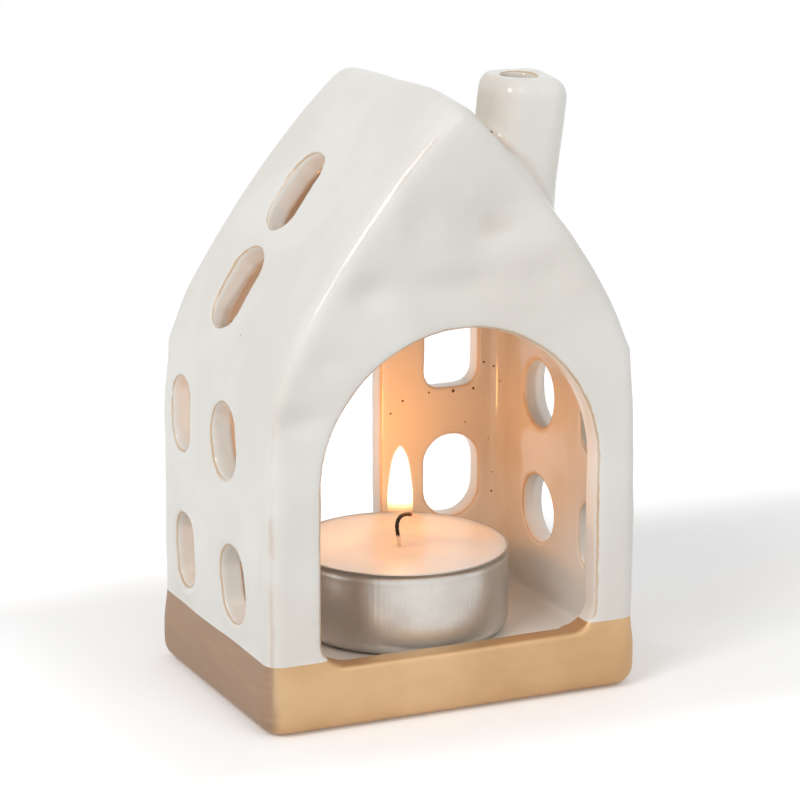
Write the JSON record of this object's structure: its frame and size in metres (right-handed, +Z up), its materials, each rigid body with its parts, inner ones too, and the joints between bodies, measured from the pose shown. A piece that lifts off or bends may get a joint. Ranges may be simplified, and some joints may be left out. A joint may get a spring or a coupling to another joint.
{
  "type": "tealight house",
  "caption": "Open-fronted glazed ceramic house on a gold base, with pierced windows and a chimney, that holds a tealight in an aluminium cup",
  "frame": {"origin": "under the middle of the base, on the table", "axes": "+Z up; the arched front faces -Y; +X is the side with the chimney"},
  "size_m": [0.0706, 0.0516, 0.108],
  "materials": {
    "glaze": "glossy off-white glaze that breaks to tan at the edges",
    "gold_lustre": "matte gold over fired clay",
    "cup_foil": "pressed foil",
    "wax": "satin paraffin wax",
    "wick_cotton": "charred cotton",
    "tab_steel": "tinned"
  },
  "bodies": {
    "house": {"front_wall": "glaze", "back_wall": "glaze", "left_wall": "glaze", "right_wall": "glaze", "left_roof": "glaze", "right_roof": "glaze", "chimney": "glaze", "gold_base": "gold_lustre"},
    "tealight_cup": {"candle_cup": "cup_foil"},
    "wax_candle": {"candle_wax": "wax", "wick": "wick_cotton", "wick_tab": "tab_steel"}
  },
  "joints": [
    {"name": "tealight_slide", "type": "slide", "parent": "house", "child": "tealight_cup", "axis": [0, -0.7431, 0.6691], "range_m": [0, 0.063]},
    {"name": "wax_lift", "type": "slide", "parent": "tealight_cup", "child": "wax_candle", "axis": [0, 0, 1], "range_m": [0, 0.0155]}
  ]
}
